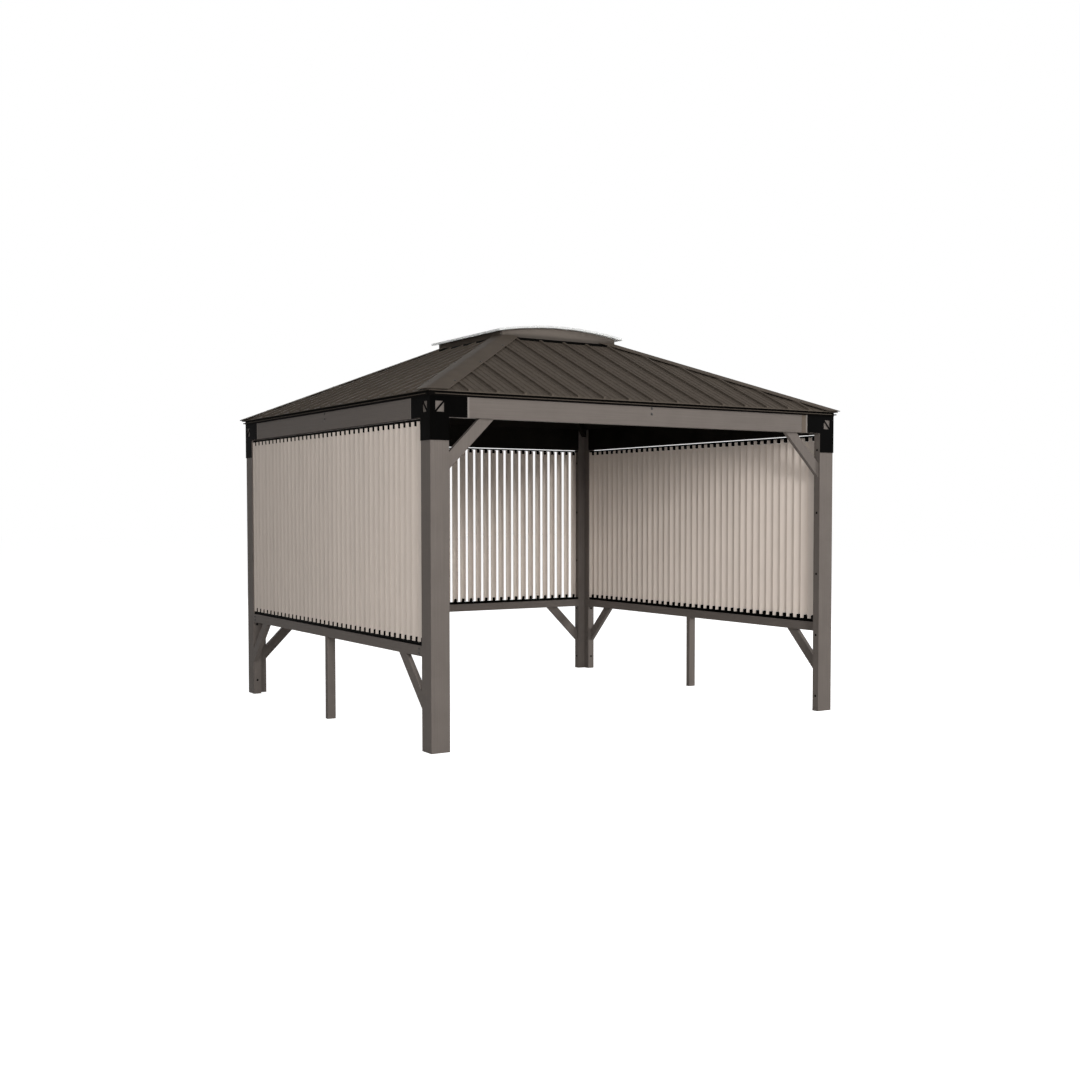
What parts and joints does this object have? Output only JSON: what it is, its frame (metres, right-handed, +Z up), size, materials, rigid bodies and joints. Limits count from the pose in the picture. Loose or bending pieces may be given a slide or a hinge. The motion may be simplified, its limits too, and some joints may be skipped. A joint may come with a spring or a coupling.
{
  "type": "metal gazebo",
  "caption": "Square metal gazebo with angle posts, a ribbed hip roof with a vaulted skylight, louvred walls of upright blades on the sides and back, and an open front.",
  "frame": {"origin": "middle of the square footprint, on the ground", "axes": "+Z up, the open front faces -Y, +X to the right as seen from the front"},
  "size_m": [3.282, 3.282, 2.7489],
  "materials": {
    "frame_paint": "satin taupe powder coat",
    "roof_paint": "matte dark brown coating",
    "rafter_paint": "matte dark brown coating",
    "bracket_black": "matte black coating",
    "track_black": "matte black",
    "blade_paint": "satin beige coating",
    "sheet_pale": "pale translucent sheet"
  },
  "bodies": {
    "root": {"back_beam": "frame_paint", "back_blades": "blade_paint", "back_bottom_track": "track_black", "back_braces": "frame_paint", "back_eave_trim": "roof_paint", "back_left_bracket": "bracket_black", "back_left_hip_cap": "roof_paint", "back_left_post": "frame_paint", "back_middle_post": "frame_paint", "back_rail": "frame_paint", "back_right_bracket": "bracket_black", "back_right_hip_cap": "roof_paint", "back_right_post": "frame_paint", "back_roof_panel": "roof_paint", "back_top_track": "track_black", "front_beam": "frame_paint", "front_braces": "frame_paint", "front_eave_trim": "roof_paint", "front_left_bracket": "bracket_black", "front_left_hip_cap": "roof_paint", "front_left_post": "frame_paint", "front_right_bracket": "bracket_black", "front_right_hip_cap": "roof_paint", "front_right_post": "frame_paint", "front_roof_panel": "roof_paint", "hip_rafters": "rafter_paint", "left_beam": "frame_paint", "left_blades": "blade_paint", "left_bottom_track": "track_black", "left_braces": "frame_paint", "left_eave_trim": "roof_paint", "left_middle_post": "frame_paint", "left_rail": "frame_paint", "left_roof_panel": "roof_paint", "left_top_track": "track_black", "right_beam": "frame_paint", "right_blades": "blade_paint", "right_bottom_track": "track_black", "right_braces": "frame_paint", "right_eave_trim": "roof_paint", "right_middle_post": "frame_paint", "right_rail": "frame_paint", "right_roof_panel": "roof_paint", "right_top_track": "track_black", "roof_ring_ends": "rafter_paint", "roof_ring_sides": "rafter_paint", "skylight_curb_ends": "roof_paint", "skylight_curb_sides": "roof_paint", "skylight_flashing": "track_black", "skylight_sheet": "sheet_pale"}
  },
  "joints": []
}
